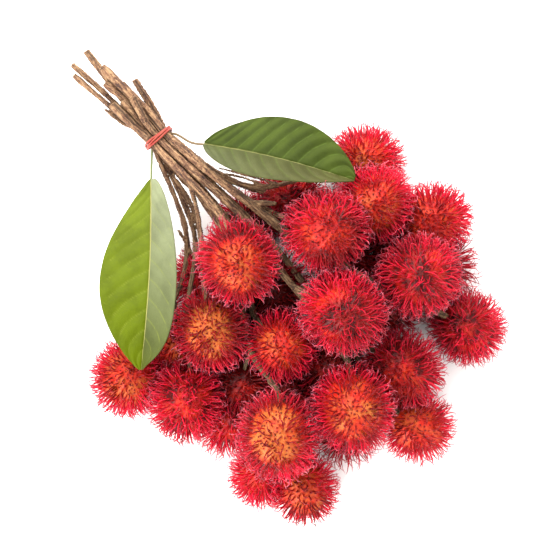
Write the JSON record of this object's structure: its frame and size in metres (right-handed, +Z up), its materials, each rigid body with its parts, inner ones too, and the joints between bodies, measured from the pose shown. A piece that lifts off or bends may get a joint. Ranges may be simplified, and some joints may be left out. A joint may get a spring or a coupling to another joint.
{
  "type": "bunch of rambutans",
  "caption": "Bunch of ripe red rambutans with long soft spines, lying down, on branching woody stems tied with a rubber band, with green leaves at the tie.",
  "frame": {"origin": "on the resting surface, at the middle of the bunch's footprint", "axes": "+X along the bunch from the cut stem ends to the fruits, +Y across it, to the left seen from above with +X ahead, +Z up from the surface it lies on"},
  "size_m": [0.3328, 0.2572, 0.0896],
  "materials": {
    "fruit_skin": "soft, slightly waxy red skin with orange patches and soft crimson spines",
    "stem_bark": "dry, rough tan-brown bark with pale cut ends",
    "leaf_blade": "smooth, half-glossy green with paler veins",
    "band_rubber": "smooth coral-red rubber"
  },
  "bodies": {
    "root": {"fruit_01": "fruit_skin", "fruit_02": "fruit_skin", "fruit_03": "fruit_skin", "fruit_04": "fruit_skin", "fruit_05": "fruit_skin", "fruit_06": "fruit_skin", "fruit_07": "fruit_skin", "fruit_08": "fruit_skin", "fruit_09": "fruit_skin", "fruit_10": "fruit_skin", "fruit_11": "fruit_skin", "fruit_12": "fruit_skin", "fruit_13": "fruit_skin", "fruit_14": "fruit_skin", "fruit_15": "fruit_skin", "fruit_16": "fruit_skin", "fruit_17": "fruit_skin", "fruit_18": "fruit_skin", "fruit_19": "fruit_skin", "fruit_20": "fruit_skin", "fruit_21": "fruit_skin", "fruit_22": "fruit_skin", "fruit_23": "fruit_skin", "fruit_24": "fruit_skin", "fruit_25": "fruit_skin", "fruit_26": "fruit_skin", "fruit_27": "fruit_skin", "fruit_28": "fruit_skin", "fruit_29": "fruit_skin", "fruit_30": "fruit_skin", "fruit_31": "fruit_skin", "fruit_32": "fruit_skin", "fruit_33": "fruit_skin", "stem_01": "stem_bark", "stem_02": "stem_bark", "stem_03": "stem_bark", "stem_04": "stem_bark", "stem_05": "stem_bark", "stem_06": "stem_bark", "stem_07": "stem_bark", "stem_08": "stem_bark", "stem_09": "stem_bark", "stem_10": "stem_bark", "leaf_1": "leaf_blade", "leaf_2": "leaf_blade", "rubber_band": "band_rubber"}
  },
  "joints": []
}
